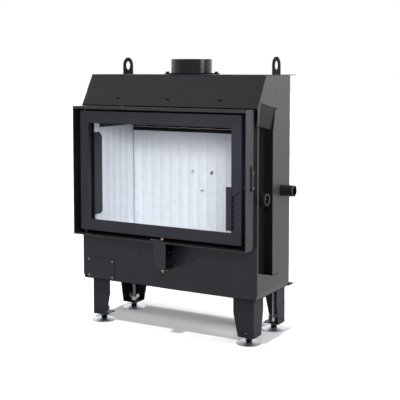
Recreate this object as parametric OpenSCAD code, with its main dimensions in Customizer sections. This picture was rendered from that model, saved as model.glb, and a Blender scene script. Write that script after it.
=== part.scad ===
// Sheet-steel fireplace insert with a glazed door, a fluted light lining, a flue
// spigot on top and four screw feet. It stands on the floor and is walled in.
// X runs to the right, Y to the back and Z up. Sizes are written from the plane of
// the casing's lower front panel, the casing's middle and the floor; in_frame()
// then moves every piece so that the origin is under the middle of the whole part.

/* [Casing] */
// Width over the two side panels
casing_w = 770; // [740:1:860]
// Height of the casing's underside above the floor
casing_underside = 175; // [165:1:200]
// Height of the casing's top above the floor
casing_top = 980; // [960:1:1040]
// Depth of the side panels
side_depth = 270; // [260:1:290]
// How far the top and bottom plates run on behind the side panels
plate_overhang = 50; // [40:1:70]
// Height at which the front starts to lean back as a hood
hood_foot = 862; // [861:1:880]
// How far the hood leans back at its top
hood_lean = 67; // [50:1:90]
// Thickness of the casing's sheet
sheet = 2.5; // [2:0.5:3]

/* [Side recess] */
// Rear edge of the recess, behind the front panel's plane
recess_rear = 124; // [110:1:140]
// Width of the flush strip behind the recess
strip_w = 45; // [35:1:55]
// Width of side panel left in front of the recess
recess_margin = 5; // [4:1:8]
// Height of the recess's sloping sill at the front
sill_front = 274; // [262:1:290]
// Height of the recess's sloping sill at the back
sill_rear = 243; // [230:1:255]
// Height of the bend line of the flap at the front
flap_bend_front = 883; // [875:1:890]
// Height of the bend line of the flap at the back
flap_bend_rear = 860; // [850:1:870]
// Length of the flap below its bend line
flap_len = 82; // [60:1:95]
// How far the flap's free edge is pressed inward
flap_press = 9; // [4:1:14]

/* [Access cover] */
// Width of the cover on the lower front panel
cover_w = 130; // [100:1:160]
// Height of the cover
cover_h = 82; // [60:1:100]
// Distance of the cover's left edge from the panel's left edge
cover_inset = 19; // [10:1:30]
// Distance of the cover's lower edge above the casing's underside
cover_rise = 4; // [3:1:20]
// Thickness of the cover
cover_t = 2; // [1.5:0.5:3]

/* [Door surround] */
// Width over the surround's two flanges
surround_w = 750; // [740:1:756]
// Height of the surround's top
surround_top = 859; // [850:1:860]
// Height of the surround's underside
surround_bottom = 362; // [356:1:366]
// How far the surround's front edge stands in front of the lower panel
surround_reach = 73; // [70:1:85]
// Gap between the lower panel and the plate that carries the surround
stand_off = 12; // [8:1:14]
// Thickness of the surround's sheet
surround_t = 3; // [2.5:0.5:4]
// Height of the folded lip along the surround's top
top_lip = 10; // [6:1:12]
// Thickness of the plate that the door seals on
seal_plate_t = 4; // [3:0.5:5]

/* [Door] */
// Width of the door
door_w = 700; // [680:1:704]
// Height of the door's bottom edge
door_bottom = 381; // [379:1:386]
// Height of the door's top edge
door_top = 841; // [830:1:844]
// Distance of the door's face in front of the lower panel
door_face = 59; // [57:1:61]
// Depth of the door frame
door_depth = 33; // [31:1:33]
// Width of the stiles beside the window
stile_w = 40; // [38:1:46]
// Height of the rail above the window
top_rail = 46; // [42:1:52]
// Height of the rail below the window
bottom_rail = 43; // [42:1:52]
// Thickness of the ceramic glass
glass_t = 4; // [3:0.5:5]
// Diameter of the sealing rope
rope_d = 12; // [10:0.5:12]
// Diameter of the hinge pins
hinge_pin_d = 10; // [8:0.5:12]
// Distance of the hinge axis from the door's left edge
hinge_inset = 18; // [17:1:19]

/* [Door handle] */
// Length of the upright grip
grip_len = 155; // [120:1:170]
// Width of the grip's face
grip_w = 22; // [16:1:26]
// How far the grip's face stands in front of the door
grip_lift = 10; // [8:0.5:12]
// Height of the grip's top above the floor
grip_top = 588; // [560:1:600]
// Thickness of the grip's sheet
grip_t = 2.5; // [2:0.5:3]
// Height of the latch arm
arm_h = 32; // [24:1:36]
// Diameter of the latch pin
latch_pin_d = 8; // [6:0.5:9]

/* [Firebox] */
// Width over the firebox's steel walls
firebox_w = 700; // [690:1:700]
// Thickness of the firebox's steel
steel_t = 4; // [3:0.5:5]
// Distance of the firebox's back behind the lower panel
firebox_rear = 300; // [296:1:304]
// Height of the firebox's underside
firebox_floor = 326; // [322:1:330]
// Height of the firebox's roof
firebox_roof = 850; // [846:1:854]
// Thickness of the lining slabs
lining_t = 18; // [16:1:20]
// Number of flutes across the back wall
flute_count = 15; // [11:2:17]
// Rise of each flute
flute_rise = 2.5; // [1:0.5:4]
// Height of the top of the fluted slabs
lining_top = 747; // [720:1:760]
// Thickness of the hearth slab
hearth_t = 20; // [15:1:25]
// Diameter of the air holes in the back wall
air_hole_d = 15; // [8:1:16]

/* [Flue] */
// Outer diameter of the flue spigot
spigot_d = 160; // [130:1:180]
// Wall of the flue spigot
spigot_wall = 3; // [2:0.5:4]
// Height of the spigot's rim above the floor
spigot_top = 1039; // [1030:1:1080]
// Distance of the flue's centre behind the lower panel
flue_y = 194; // [180:1:200]
// Distance of the flange bolts from the flue's centre
flange_bolt_x = 110; // [105:1:125]

/* [Lifting eyes] */
// Distance of each eye from the casing's middle
eye_x = 337; // [320:1:340]
// Distance of the eyes behind the lower panel
eye_y = 250; // [235:1:255]
// Width of an eye plate
eye_w = 65; // [55:1:70]
// Height of the eye's hole above the floor
eye_hole_z = 1015; // [1012:1:1060]
// Diameter of the eye's hole
eye_hole_d = 35; // [25:1:40]
// Thickness of an eye plate
eye_t = 5; // [4:0.5:6]

/* [Air] */
// Outer diameter of the two air pipes on the right side
pipe_d = 42.4; // [38:0.1:44]
// Wall of the air pipes
pipe_wall = 2.6; // [2:0.1:3.2]
// How far the rear air pipe stands out of the side panel
pipe_reach = 52; // [30:1:80]
// Distance of the rear air pipe behind the lower panel
pipe_y = 200; // [195:1:215]
// Height of the rear air pipe
pipe_z = 551; // [400:1:700]
// Distance of the recessed air pipe behind the lower panel
port_y = 78; // [70:1:90]
// Height of the recessed air pipe
port_z = 530; // [400:1:700]
// Distance of the air control's axis from the casing's middle
control_x = 20; // [0:1:40]
// Distance of the air control's axis in front of the lower panel
control_y = 52; // [48:1:54]
// Diameter of the air control's spindle
spindle_d = 10; // [8:0.5:12]
// Radius of the crank that drives the air slide
crank_r = 14; // [12:0.5:14]
// Width of the guard round the spindle
guard_w = 50; // [48:1:60]
// Height of the guard's underside
guard_bottom = 263; // [240:1:280]

/* [Legs and feet] */
// Distance of the legs' outer faces from the casing's middle
leg_x = 358.5; // [340:0.5:366]
// Distance of the front legs' faces behind the lower panel
leg_front = 23; // [18:1:30]
// Distance of the rear legs' faces behind the lower panel
leg_rear = 297; // [290:1:305]
// Width of a leg at its top, across the front
leg_w = 83; // [74:1:90]
// Width of a leg at its top, along the side
leg_side = 79; // [72:1:90]
// Width of a leg at its foot, across the front
leg_foot_w = 64; // [60:1:70]
// Width of a leg at its foot, along the side
leg_foot_side = 62; // [58:1:70]
// Height at which a leg starts to taper
leg_taper_z = 116; // [90:1:130]
// Height of a leg's underside
leg_underside = 27.5; // [26:0.5:40]
// Thickness of a leg's sheet
leg_t = 4; // [3:0.5:5]
// Radius of a leg's outer bend
leg_bend_r = 8; // [6:1:10]
// Diameter of a foot's disc
disc_d = 92; // [70:1:96]
// Thickness of a foot's disc at its middle
disc_t = 6; // [5:0.5:8]
// Diameter of a foot's threaded rod
rod_d = 12; // [10:1:14]
// Height of a rod's top
rod_top = 162; // [120:1:162]

/* [Hidden] */

$fn = 48;
over = 1; // overrun of every cut
clear = 0.3; // gap between neighbours that don't touch
run_gap = 0.05; // radial clearance of a pin in its bore

// Casing
half_w = casing_w / 2;
inner_w = half_w - sheet;
plates_rear = side_depth + plate_overhang;
panel_bottom = casing_underside + sheet;
panel_top = casing_top - sheet;
foot_band = 17.5; // height of the side panel's leaning foot
foot_lean = 5; // how far that foot leans in
mark_d = 4.4; // the pairs of small pressing marks
mark_gap = 9;
mark_z = 298;
front_mark_share = 0.304; // outer pairs at three times this share
window_gap = 4; // round the slide's bar where it passes the front panel
hood_mark_share = 0.58;
hood_mark_z = 26; // height of the hood's marks above its foot
apron_rise = 44; // from the firebox's underside to the lower front panel's top
apron_top = firebox_floor + apron_rise;
hood_lip = 12;
hood_fold = 1;

// Surround and seal plate
fold_extra = 1; // the bottom plate is thicker than the flanges
surround_half = surround_w / 2;
seal_back = -stand_off;
seal_front = seal_back - seal_plate_t;
front_y = -surround_reach;
bottom_t = surround_t + fold_extra;
flange_in = surround_half - surround_t;

// Door
door_half = door_w / 2;
face_y = -door_face;
door_rear = face_y + door_depth;
door_skin = 3;
win_half = door_half - stile_w;
win_bottom = door_bottom + bottom_rail;
win_top = door_top - top_rail;
glass_lap = 12;
glass_side = 26; // from the door's edge to the rabbet wall round the glass
rope_side = 16; // from the door's edge to the rope's middle
groove_lip = 2.6; // the groove's floor stands this far in front of the door's rear edge
seal_land = 4; // seal plate left inside the rope
glass_y = face_y + door_skin + clear;
wall_x = door_half - glass_side;
rope_y = seal_front - clear - rope_d / 2;
rope_x = door_half - rope_side;
groove_floor = door_rear - groove_lip - door_skin;
seal_open_x = rope_x - rope_d - seal_land;
hinge_x = -door_half + hinge_inset;
hinge_setback = 11;
hinge_y = face_y + hinge_setback;
boss_wall = 4;
boss_d = hinge_pin_d + 2 * boss_wall;
boss_len = 20;

// Handle and latch
grip_over = 6; // the grip stands this far past the window's edge
grip_right = win_half + grip_over;
grip_left = grip_right - grip_w;
grip_bottom = grip_top - grip_len;
latch_inset = 8;
latch_setback = 13;
latch_x = door_half - latch_inset;
latch_y = face_y + latch_setback;
hub_wall = 3;
hub_d = latch_pin_d + 2 * hub_wall;
notch_above = 6;
notch_below = 12;
notch_top = grip_top + notch_above;
notch_bottom = grip_top - notch_below;
notch_depth = 26;
notch_w = 18;
hub_play = 0.5;
cheek_t = 4;
nose_reach = 22; // from the latch pin to the nose's tip
nose_back = 21; // from the latch pin to the nose's rear face
nose_t = 4;
neck_x = 17;
neck_w = 3;
nose_inset = 2; // the nose is this much shorter than the notch at each end
arm_gap = 3;
arm_t = 4;
grip_gap = 0.6;
grip_holes = 8;
grip_hole_d = 3.6;

// Firebox and lining
fire_half = firebox_w / 2;
fire_in = fire_half - steel_t;
fire_rear_in = firebox_rear - steel_t;
sill_y = 12; // front wall of the hearth basin
sill_rise = 50;
sill_z = firebox_floor + sill_rise; // shelf behind the door's foot
hearth_z = firebox_floor + steel_t;
hearth_top = hearth_z + hearth_t;
lining_front = fire_rear_in - lining_t;
side_thinner = 2;
side_t = lining_t - side_thinner;
side_in = fire_in - side_t;
flute_w = 2 * side_in / flute_count;
side_flutes = 6;
roof_gap = 27; // from the seal plate to the upper baffle
rail_h = 14;

// Flue and roof
hood_open_x = 230;
hood_open_front = 60;
hood_open_rear = 285;
hood_wall = 3;
pipe_step = 0.6; // a tube is this much slimmer all round where it goes through a plate
flange_t = 5;
flange_rim = 14;
flange_r = spigot_d / 2 + flange_rim;
ear_r = 12;
bolt_d = 8;
bolt_flat = 13;
bolt_head_h = 6;

// Air control
guard_t = 2.5;
guard_left = control_x - guard_w / 2;
guard_right = control_x + guard_w / 2;
axis_y = -control_y;
slide_t = 3;
slide_z = firebox_floor - slide_t - clear;
crank_t = 4;
crank_z = slide_z - clear - crank_t;
crank_swing = 30; // the crank stands this many degrees before its middle
crank_pin_d = 6;
bar_w = 14;
bar_x = control_x + crank_r;
rest_y = axis_y - crank_r * sin(crank_swing);
grate_slots = 4;
grate_pitch = 28;
grate_slot_w = 12;
grate_slot_len = 150;
grate_front = 90;
slide_travel = 2 * crank_r * sin(crank_swing);
lever_len = 50;
lever_gap = 1;
lever_z = surround_bottom + bottom_t + lever_gap;
lever_t = 4;

// Legs and feet
foot_in_x = 34;
foot_in_y = 31;
nut_h = 14;
nut_flat = 22;

// Access cover
cover_left = cover_inset - half_w;
cover_right = cover_left + cover_w;
cover_bottom = casing_underside + cover_rise;
cover_top = cover_bottom + cover_h;
cover_lap = 18;
cover_screw_inset = 9;
screw_head_d = 11;
screw_head_h = 2.5;

// Where the whole part's middle lies, seen from above
mid_x = pipe_reach / 2;
mid_y = (plates_rear - surround_reach) / 2;

// Moves a piece from the casing's own place to the part's frame
module in_frame() translate([-mid_x, -mid_y, 0]) children();

// A block between two places along each axis
module block(x, y, z)
    translate([x[0], y[0], z[0]]) cube([x[1] - x[0], y[1] - y[0], z[1] - z[0]]);

// An outline drawn in Y and Z, given a thickness towards +X from x
module across(x, thick) translate([x, 0, 0]) rotate([90, 0, 90]) linear_extrude(thick) children();

// An outline drawn in X and Z, given a thickness towards +Y from y
module along(y, thick) translate([0, y + thick, 0]) rotate([90, 0, 0]) linear_extrude(thick) children();

// A rod along X, Y or Z that starts at a point
module rod_x(p, d, len) translate(p) rotate([0, 90, 0]) cylinder(d = d, h = len);
module rod_y(p, d, len) translate(p) rotate([-90, 0, 0]) cylinder(d = d, h = len);
module rod_z(p, d, len) translate(p) cylinder(d = d, h = len);

// A hexagon bolt head or nut standing on a point along Z
module hex_z(p, flat, h) translate(p) cylinder(d = flat / cos(180 / 6), h = h, $fn = 6);

head_top_share = 0.7;
cross_len_share = 0.6;
cross_w_share = 0.15;

// A pan head with a cross slot, on a face that looks to the front
module front_screw(p, d, h)
    difference() {
        translate(p) rotate([90, 0, 0]) cylinder(d1 = d, d2 = d * head_top_share, h = h);
        for (turn = [45, 135])
            translate([p[0], p[1] - h, p[2]]) rotate([0, turn, 0])
                cube([d * cross_len_share, h, d * cross_w_share], center = true);
    }

// A pair of small marks pressed through a front sheet
module mark_pair(x, z)
    for (side = [-1, 1])
        rod_y([x + side * mark_gap / 2, -over, z], mark_d, sheet + 2 * over);

// Casing

module side_outline()
    polygon([[0, panel_bottom + foot_band], [side_depth, panel_bottom + foot_band], [side_depth, panel_top],
             [hood_lean, panel_top], [0, hood_foot]]);

// The foot of a side panel, which leans in towards the bottom plate
module side_foot()
    along(0, side_depth)
        polygon([[half_w, panel_bottom + foot_band], [half_w - foot_lean, panel_bottom],
                 [half_w - foot_lean - sheet, panel_bottom], [inner_w, panel_bottom + foot_band]]);

hood_slope = (panel_top - hood_foot) / hood_lean;
bend_slope = (flap_bend_front - flap_bend_rear) / recess_rear;
flap_front_y = recess_margin + (flap_bend_front - hood_foot) / hood_slope;
flap_past = 16; // the flap runs this far past the recess
flap_rear_y = recess_rear + flap_past;
strip_rear = recess_rear + strip_w;
strip_top = flap_bend_front - bend_slope * (strip_rear - flap_front_y);
strip_gap = 3;
strip_bottom = sill_rear + strip_gap;
strip_notch = 6; // the strip stops this far under the flap's rear corner

// The opening that the recess, its flap and its strip fill
module recess_outline()
    polygon([[recess_margin, sill_front], [recess_rear, sill_rear], [strip_rear, sill_rear],
             [strip_rear, strip_top], [flap_front_y, flap_bend_front],
             [recess_margin, flap_bend_front - flap_len]]);

module lower_front_panel() in_frame() color("dimgray")
    difference() {
        along(0, sheet)
            polygon([[foot_lean + clear - inner_w, panel_bottom], [inner_w - foot_lean - clear, panel_bottom],
                     [inner_w - clear, panel_bottom + foot_band], [inner_w - clear, apron_top],
                     [clear - inner_w, apron_top], [clear - inner_w, panel_bottom + foot_band]]);
        for (side = [-1, 1], step = [1, 3])
            mark_pair(side * step * front_mark_share * half_w, mark_z);
        block([cover_left + cover_lap, cover_right - cover_lap], [-over, sheet + over],
              [cover_bottom + cover_lap, cover_top - cover_lap]);
        block([guard_left + guard_t + clear, guard_right - guard_t - clear], [-over, sheet + over],
              [crank_z - window_gap, slide_z + slide_t + window_gap]);
    }

module side_panel_left() in_frame() color("gray") {
    mirror([1, 0, 0]) {
        across(inner_w, sheet) side_outline();
        side_foot();
    }
}

side_mark_y = 149;
side_mark_z = 920;
side_mark_step = 11;

module side_panel_right() in_frame() color("gray") {
    difference() {
        across(inner_w, sheet) side_outline();
        across(inner_w - over, sheet + 2 * over) recess_outline();
        rod_x([inner_w - over, pipe_y, pipe_z], pipe_d - pipe_step, sheet + 2 * over);
        for (place = [[0, 1], [0, 0], [-1, -1]])
            rod_x([inner_w - over, side_mark_y + place[0] * side_mark_step,
                   side_mark_z + place[1] * side_mark_step],
                  mark_d, sheet + 2 * over);
    }
    side_foot();
}

liner_x = fire_half + sheet;

// Inner wall, sloping sill, rear wall and flush strip of the recess
module recess_liner() in_frame() color("dimgray") {
    difference() {
        across(liner_x - sheet, sheet)
            polygon([[sheet, sill_front], [recess_rear, sill_rear], [recess_rear, flap_bend_rear],
                     [sheet, hood_foot]]);
        rod_x([liner_x - sheet - over, port_y, port_z], pipe_d - pipe_step, sheet + 2 * over);
    }
    across(liner_x, inner_w - liner_x)
        polygon([[sheet, sill_front], [recess_rear, sill_rear], [recess_rear, sill_rear - sheet],
                 [sheet, sill_front - sheet]]);
    block([liner_x - sheet, half_w], [recess_rear, recess_rear + sheet],
          [strip_bottom, flap_bend_rear - flap_len]);
    across(inner_w, sheet)
        polygon([[recess_rear + sheet, strip_bottom], [strip_rear - clear, strip_bottom],
                 [strip_rear - clear, strip_top - clear], [flap_rear_y + clear, flap_bend_rear - strip_notch],
                 [recess_rear + sheet, flap_bend_rear - flap_len]]);
}

flap_tilt = asin(flap_press / flap_len);
flap_w = (flap_rear_y - flap_front_y) / cos(atan(bend_slope));
flap_draft = 2;
flap_hole_rise = 6;
flap_hole_d = 2;
flap_holes = 14;

// Part of the side sheet pressed inward along the sloping bend line, with a row of
// fine holes above its free edge
module recess_flap() in_frame() color("gray")
    translate([half_w, flap_front_y, flap_bend_front])
        rotate([-atan(bend_slope), 0, 0]) rotate([0, flap_tilt, 0])
            difference() {
                across(-sheet, sheet)
                    polygon([[flap_draft, -clear], [flap_w - flap_draft, -clear],
                             [flap_w - 2 * flap_draft, -flap_len], [2 * flap_draft, -flap_len]]);
                for (i = [1 : flap_holes])
                    rod_x([-sheet - over, i * flap_w / (flap_holes + 1), flap_hole_rise - flap_len],
                          flap_hole_d, sheet + 2 * over);
            }

// The leaning hood with its lower lip folded back
module front_hood() in_frame() color("dimgray")
    difference() {
        across(-inner_w, 2 * inner_w)
            polygon([[0, hood_foot], [hood_lean, panel_top], [hood_lean + sheet, panel_top],
                     [sheet + hood_fold, hood_foot + sheet], [hood_lip, hood_foot + sheet], [hood_lip,
                                                                                             hood_foot]]);
        for (side = [-1, 0, 1])
            translate([0, hood_mark_z / hood_slope, 0])
                mark_pair(side * hood_mark_share * half_w, hood_foot + hood_mark_z);
    }

module top_plate() in_frame() color("gray")
    difference() {
        block([-half_w, half_w], [hood_lean, plates_rear], [panel_top, casing_top]);
        rod_z([0, flue_y, panel_top - over], spigot_d + 2 * clear, sheet + 2 * over);
        for (side = [-1, 1]) {
            block([side * eye_x - eye_t / 2 - clear, side * eye_x + eye_t / 2 + clear],
                  [eye_y - eye_w / 2 - clear, eye_y + eye_w / 2 + clear], [panel_top - over,
                                                                           casing_top + over]);
            rod_z([side * flange_bolt_x, flue_y, panel_top - over], bolt_d + 2 * run_gap, sheet + 2 * over);
        }
    }

inlet_half = 240;
inlet_front = 110;
inlet_rear = 250;

module bottom_plate() in_frame() color("gray")
    difference() {
        union() {
            block([-half_w + foot_lean, half_w - foot_lean], [0, side_depth],
                  [casing_underside, panel_bottom]);
            block([-half_w, half_w], [side_depth, plates_rear], [casing_underside, panel_bottom]);
        }
        block([-inlet_half, inlet_half], [inlet_front, inlet_rear],
              [casing_underside - over, panel_bottom + over]);
    }

module rear_shield() in_frame() color("gray")
    block([-fire_half, fire_half], [plates_rear - sheet, plates_rear], [panel_bottom, panel_top]);

// Firebox

plate_w = fire_in - clear; // half the width of the plates between the two side plates

// Steel box welded from plates: two sides, floor, back, roof and the step of the sill,
// which makes a basin for the hearth
module firebox_shell() in_frame() color("dimgray") {
    for (side = [-1, 1])
        difference() {
            across(side > 0 ? fire_in : -fire_half, steel_t)
                polygon([[seal_back, sill_z], [sill_y, sill_z], [sill_y, firebox_floor],
                         [firebox_rear, firebox_floor], [firebox_rear, firebox_roof],
                         [seal_back, firebox_roof]]);
            rod_x([fire_in - over, port_y, port_z], pipe_d - 2 * pipe_wall, steel_t + 2 * over);
            rod_x([fire_in - over, pipe_y, pipe_z], pipe_d - 2 * pipe_wall, steel_t + 2 * over);
        }
    difference() {
        block([-plate_w, plate_w], [sill_y, firebox_rear], [firebox_floor, firebox_floor + steel_t]);
        grate(firebox_floor, steel_t, 0);
    }
    difference() {
        block([-plate_w, plate_w], [seal_back, fire_rear_in - clear], [firebox_roof - steel_t, firebox_roof]);
        block([-hood_open_x, hood_open_x], [hood_open_front, hood_open_rear],
              [firebox_roof - steel_t - over, firebox_roof + over]);
    }
    block([-plate_w, plate_w], [fire_rear_in, firebox_rear], [firebox_floor + steel_t + clear, firebox_roof]);
    block([-plate_w, plate_w], [sill_y, sill_y + steel_t], [firebox_floor + steel_t + clear, sill_z - clear]);
    block([-plate_w, plate_w], [seal_back, sill_y + steel_t], [sill_z, sill_z + steel_t]);
}

// The row of slots through which primary air reaches the fire, cut through a plate at z
module grate(z, thick, shift)
    for (i = [0 : grate_slots - 1])
        translate([control_x, grate_front + i * grate_pitch - shift, z - over])
            block([-grate_slot_len / 2, grate_slot_len / 2], [0, grate_slot_w], [0, thick + 2 * over]);

stand_x = 318;
stand_front = 30;

// Two folded stands that carry the firebox on the bottom plate
module firebox_stands() in_frame() color("dimgray")
    for (side = [0, 1]) mirror([side, 0, 0]) {
        block([stand_x, stand_x + steel_t], [stand_front, fire_rear_in], [panel_bottom, firebox_floor]);
        block([stand_x - hood_lip, stand_x], [stand_front, fire_rear_in],
              [firebox_floor - sheet, firebox_floor]);
    }

seal_rim = 30; // height of the seal plate above and below its opening

module seal_plate() in_frame() color("dimgray")
    difference() {
        block([-surround_half, surround_half], [seal_front, seal_back], [surround_bottom, surround_top]);
        block([-seal_open_x, seal_open_x], [seal_front - over, seal_back + over],
              [door_bottom + seal_rim, door_top - seal_rim]);
    }

slot_below = 16;
slot_above = 68;
slot_setback = 26;
slot_bottom = grip_top - slot_below;
slot_top = grip_top + slot_above;
slot_front = seal_front - slot_setback;
slot_w = 12;
slot_point = 13; // height of the slot's pointed top

// Box-shaped frame that stands round the door
module door_surround() in_frame() color("dimgray")
    difference() {
        block([-surround_half, surround_half], [front_y, seal_front], [surround_bottom, surround_top]);
        block([-flange_in, flange_in], [front_y + surround_t, seal_front + over],
              [surround_bottom + bottom_t, surround_top - surround_t]);
        block([-flange_in, flange_in], [front_y - over, front_y + surround_t + over],
              [surround_bottom + bottom_t, surround_top - top_lip]);
        across(flange_in - over, surround_t + 2 * over)
            polygon([[slot_front, slot_bottom], [slot_front + slot_w, slot_bottom],
                     [slot_front + slot_w, slot_top],
                     [slot_front + slot_w / 2, slot_top + slot_point], [slot_front, slot_top]]);
        rod_z([control_x, axis_y, surround_bottom - over], spindle_d + 2 * run_gap, bottom_t + 2 * over);
    }

surround_bolt_x = 96;
surround_bolt_flat = 13;
surround_bolt_setback = 17;

// Four bolts under the surround's top, above the door
module surround_bolts() in_frame() color("dimgray")
    for (step = [-3, -1, 1, 3])
        hex_z([step * surround_bolt_x, seal_front - surround_bolt_setback,
               surround_top - surround_t - bolt_head_h],
              surround_bolt_flat, bolt_head_h);

smoke_drop = 20;
smoke_top = panel_top - smoke_drop;

// Funnel from the firebox roof up to the flue
module smoke_hood() in_frame() color("dimgray") {
    difference() {
        hull() {
            block([-hood_open_x, hood_open_x], [hood_open_front, hood_open_rear],
                  [firebox_roof, firebox_roof + sheet]);
            rod_z([0, flue_y, smoke_top - sheet], spigot_d, sheet);
        }
        hull() {
            block([hood_wall - hood_open_x, hood_open_x - hood_wall],
                  [hood_open_front + hood_wall, hood_open_rear - hood_wall],
                  [firebox_roof - over, firebox_roof]);
            rod_z([0, flue_y, smoke_top], spigot_d - 2 * hood_wall, over);
        }
    }
}

spigot_seat = casing_top + flange_t + clear;

// Spigot for the flue pipe, turned down slightly where it goes through the flange
module flue_spigot() in_frame() color("dimgray")
    difference() {
        union() {
            rod_z([0, flue_y, smoke_top], spigot_d - 2 * pipe_step, spigot_seat - smoke_top);
            rod_z([0, flue_y, spigot_seat], spigot_d, spigot_top - spigot_seat);
        }
        rod_z([0, flue_y, smoke_top - over], spigot_d - 2 * spigot_wall, spigot_top - smoke_top + 2 * over);
    }

// Flange round the spigot with two bolted ears
module flue_flange() in_frame() color("dimgray")
    difference() {
        union() {
            rod_z([0, flue_y, casing_top], 2 * flange_r, flange_t);
            for (side = [-1, 1]) rod_z([side * flange_bolt_x, flue_y, casing_top], 2 * ear_r, flange_t);
            block([-flange_bolt_x, flange_bolt_x], [flue_y - ear_r, flue_y + ear_r],
                  [casing_top, casing_top + flange_t]);
        }
        rod_z([0, flue_y, casing_top - over], spigot_d + 2 * clear, flange_t + 2 * over);
        for (side = [-1, 1])
            rod_z([side * flange_bolt_x, flue_y, casing_top - over], bolt_d + 2 * run_gap, flange_t + 2 * over);
    }

module flue_bolts() in_frame() color("silver")
    for (side = [-1, 1]) {
        rod_z([side * flange_bolt_x, flue_y, panel_top - bolt_head_h], bolt_d,
              flange_t + sheet + bolt_head_h);
        hex_z([side * flange_bolt_x, flue_y, casing_top + flange_t], bolt_flat, bolt_head_h);
    }

module lifting_eye(side) in_frame() color("dimgray")
    across(side * eye_x - eye_t / 2, eye_t)
        difference() {
            union() {
                translate([eye_y - eye_w / 2, firebox_roof]) square([eye_w, eye_hole_z - firebox_roof]);
                translate([eye_y, eye_hole_z]) circle(d = eye_w);
            }
            translate([eye_y, eye_hole_z]) circle(d = eye_hole_d);
        }

module lifting_eye_left() lifting_eye(-1);
module lifting_eye_right() lifting_eye(1);

// Lining

flute_steps = 8;

// Wavy front of a slab: round flutes side by side, seen from above, from x = 0 to n flutes
function flutes(n) = [for (i = [0 : n * flute_steps])
    let (part = i % flute_steps / flute_steps) [i * flute_w / flute_steps, -flute_rise * sin(180 * part)]];

// A slab with n flutes and a plain part of the length given after them
module fluted_slab(n, thick, plain = 0)
    polygon(concat(flutes(n), plain > 0 ? [[n * flute_w + plain, 0]] : [],
                   [[n * flute_w + plain, thick], [0, thick]]));

air_hole_high = 588;
air_hole_low = 512;

module lining_back() in_frame() color("whitesmoke")
    difference() {
        translate([-side_in, lining_front, hearth_top])
            linear_extrude(lining_top - hearth_top) fluted_slab(flute_count, lining_t);
        for (hole = [[-1, air_hole_high], [1, air_hole_high], [0, air_hole_low]])
            rod_y([hole[0] * flute_w, lining_front - lining_t, hole[1]], air_hole_d, 3 * lining_t);
    }

baffle_z = 792;
side_top = baffle_z - clear;
side_rear = lining_front - flute_rise - clear;
side_plain = side_rear - side_flutes * flute_w - seal_back - clear;

// Side slab up to the baffle and forward to the seal plate, where it stands on the sill; the
// bracket covers its plain part
module side_lining() color("whitesmoke")
    difference() {
        translate([side_in, side_rear, hearth_top]) rotate([0, 0, -90])
            linear_extrude(side_top - hearth_top) fluted_slab(side_flutes, side_t, side_plain);
        block([side_in - flute_rise - over, fire_in + over],
              [seal_back - over, sill_y + steel_t + clear],
              [hearth_top - over, sill_z + steel_t + clear]);
    }

module lining_left() in_frame() mirror([1, 0, 0]) side_lining();
module lining_right() in_frame() side_lining();

// Slab on the firebox floor, with slots over the grate
module hearth_slab() in_frame() color("lightgray")
    difference() {
        block([-fire_in, fire_in], [sill_y + steel_t, fire_rear_in], [hearth_z, hearth_top]);
        grate(hearth_z, hearth_t, 0);
    }

// Steel rail that holds the back slab at its top
module lining_rail() in_frame() color("gray") {
    block([-fire_in, fire_in], [lining_front - sheet, fire_rear_in], [lining_top, lining_top + sheet]);
    block([-fire_in, fire_in], [lining_front - sheet, lining_front],
          [lining_top + sheet, lining_top + rail_h]);
}

bracket_rear = 47;
bracket_bottom = 431;
bracket_top = 755;
bracket_cut_top = 18;
bracket_cut_bottom = 10;

// Steel bracket on the seal plate that holds a side slab at its front edge
module lining_bracket() color("gray")
    across(side_in - flute_rise - clear - sheet, sheet)
        polygon([[seal_back, bracket_bottom], [bracket_rear - bracket_cut_bottom, bracket_bottom],
                 [bracket_rear, bracket_bottom + bracket_cut_bottom],
                 [bracket_rear, bracket_top - bracket_cut_top],
                 [bracket_rear - bracket_cut_top, bracket_top], [seal_back, bracket_top]]);

module lining_bracket_left() in_frame() mirror([1, 0, 0]) lining_bracket();
module lining_bracket_right() in_frame() lining_bracket();

baffle_t = 22;
baffle_front = 90;
upper_baffle_z = 824;
upper_baffle_rear = 236;

module baffle_lower() in_frame() color("lightgray")
    block([-fire_in, fire_in], [baffle_front, fire_rear_in], [baffle_z, baffle_z + baffle_t]);

module baffle_upper() in_frame() color("gray")
    block([-fire_in, fire_in], [seal_back + roof_gap, upper_baffle_rear],
          [upper_baffle_z, upper_baffle_z + sheet]);

// Hinges

hinge_plate_t = 3;
hinge_plate_w = 82;
hinge_top_w = 70;
hinge_hole_x = 20; // drain hole beside the lower pin
hinge_hole_d = 6;
collar_gap = 2; // between the door and the upper pin's collar
pin_short = 5; // the pins stop this far before the bosses' ends
pin_in_door = boss_len - pin_short;

// A plate welded into the surround, with the pin that carries the door
module hinge_plates() in_frame() color("gray") {
    difference() {
        block([-flange_in, hinge_plate_w - flange_in], [front_y + surround_t, seal_front],
              [surround_bottom + bottom_t, surround_bottom + bottom_t + hinge_plate_t]);
        rod_z([hinge_x + hinge_hole_x, hinge_y, surround_bottom + bottom_t - over], hinge_hole_d,
              hinge_plate_t + 2 * over);
    }
    rod_z([hinge_x, hinge_y, surround_bottom + bottom_t], hinge_pin_d,
          door_bottom + pin_in_door - surround_bottom - bottom_t);
    block([-flange_in, hinge_top_w - flange_in], [front_y + surround_t, seal_front],
          [surround_top - surround_t - hinge_plate_t, surround_top - surround_t]);
    rod_z([hinge_x, hinge_y, door_top - pin_in_door], hinge_pin_d,
          surround_top - surround_t - door_top + pin_in_door);
    rod_z([hinge_x, hinge_y, door_top + collar_gap], hinge_pin_d + 2 * bush_wall,
          surround_top - surround_t - door_top - collar_gap);
}

bush_wall = 2.5;

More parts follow.
